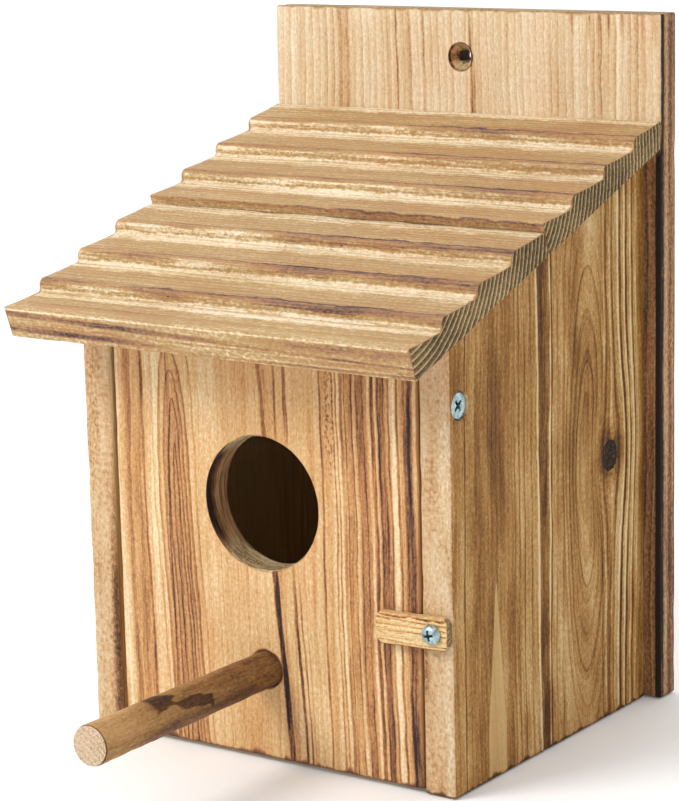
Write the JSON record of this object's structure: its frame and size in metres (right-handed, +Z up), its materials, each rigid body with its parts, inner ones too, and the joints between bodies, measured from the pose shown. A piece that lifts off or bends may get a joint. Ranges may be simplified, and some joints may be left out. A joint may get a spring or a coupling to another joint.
{
  "type": "birdhouse",
  "caption": "Wooden nest box with a stepped pent roof, a tall back board, a hinged front door with a round entrance and a perch, and a turn button.",
  "frame": {"origin": "middle of the box's footprint (sides and back board), level with its underside, on the floor panel's lower face", "axes": "+Z up, -Y out of the front door, +Y into the wall or post behind the back board, +X to the right seen from the front"},
  "size_m": [0.135, 0.1901, 0.2024],
  "materials": {
    "back_wood": "pale softwood, lightly torched, bare",
    "side_wood": "softwood, torched, raised grain, bare",
    "roof_wood": "moulded softwood, torched with scorched noses, bare",
    "door_wood": "softwood with strong scorched grain lines, bare",
    "perch_wood": "browned dowel with pale end grain",
    "button_wood": "pale softwood, scorched edges",
    "zinc_screw": "bright zinc plate"
  },
  "bodies": {
    "house": {"back_board": "back_wood", "left_side": "side_wood", "right_side": "side_wood", "floor_panel": "side_wood", "roof_board_front": "roof_wood", "roof_board_rear": "roof_wood", "turn_button_screw": "zinc_screw", "side_screw_left_low": "zinc_screw", "side_screw_left_high": "zinc_screw", "side_screw_right_low": "zinc_screw", "side_screw_right_high": "zinc_screw", "floor_screw_left": "zinc_screw", "floor_screw_right": "zinc_screw"},
    "door": {"front_door": "door_wood", "perch_dowel": "perch_wood", "pivot_screw_left": "zinc_screw", "pivot_screw_right": "zinc_screw"},
    "button": {"turn_button": "button_wood"}
  },
  "joints": [
    {"name": "door_hinge", "type": "hinge", "parent": "house", "child": "door", "pos_m": [0, -0.052, 0.1072], "axis": [-1, 0, 0], "range_deg": [0, 90]},
    {"name": "button_pivot", "type": "hinge", "parent": "house", "child": "button", "pos_m": [0.0574, -0.0585, 0.0462], "axis": [0, -1, 0], "range_deg": [-90, 90]}
  ]
}
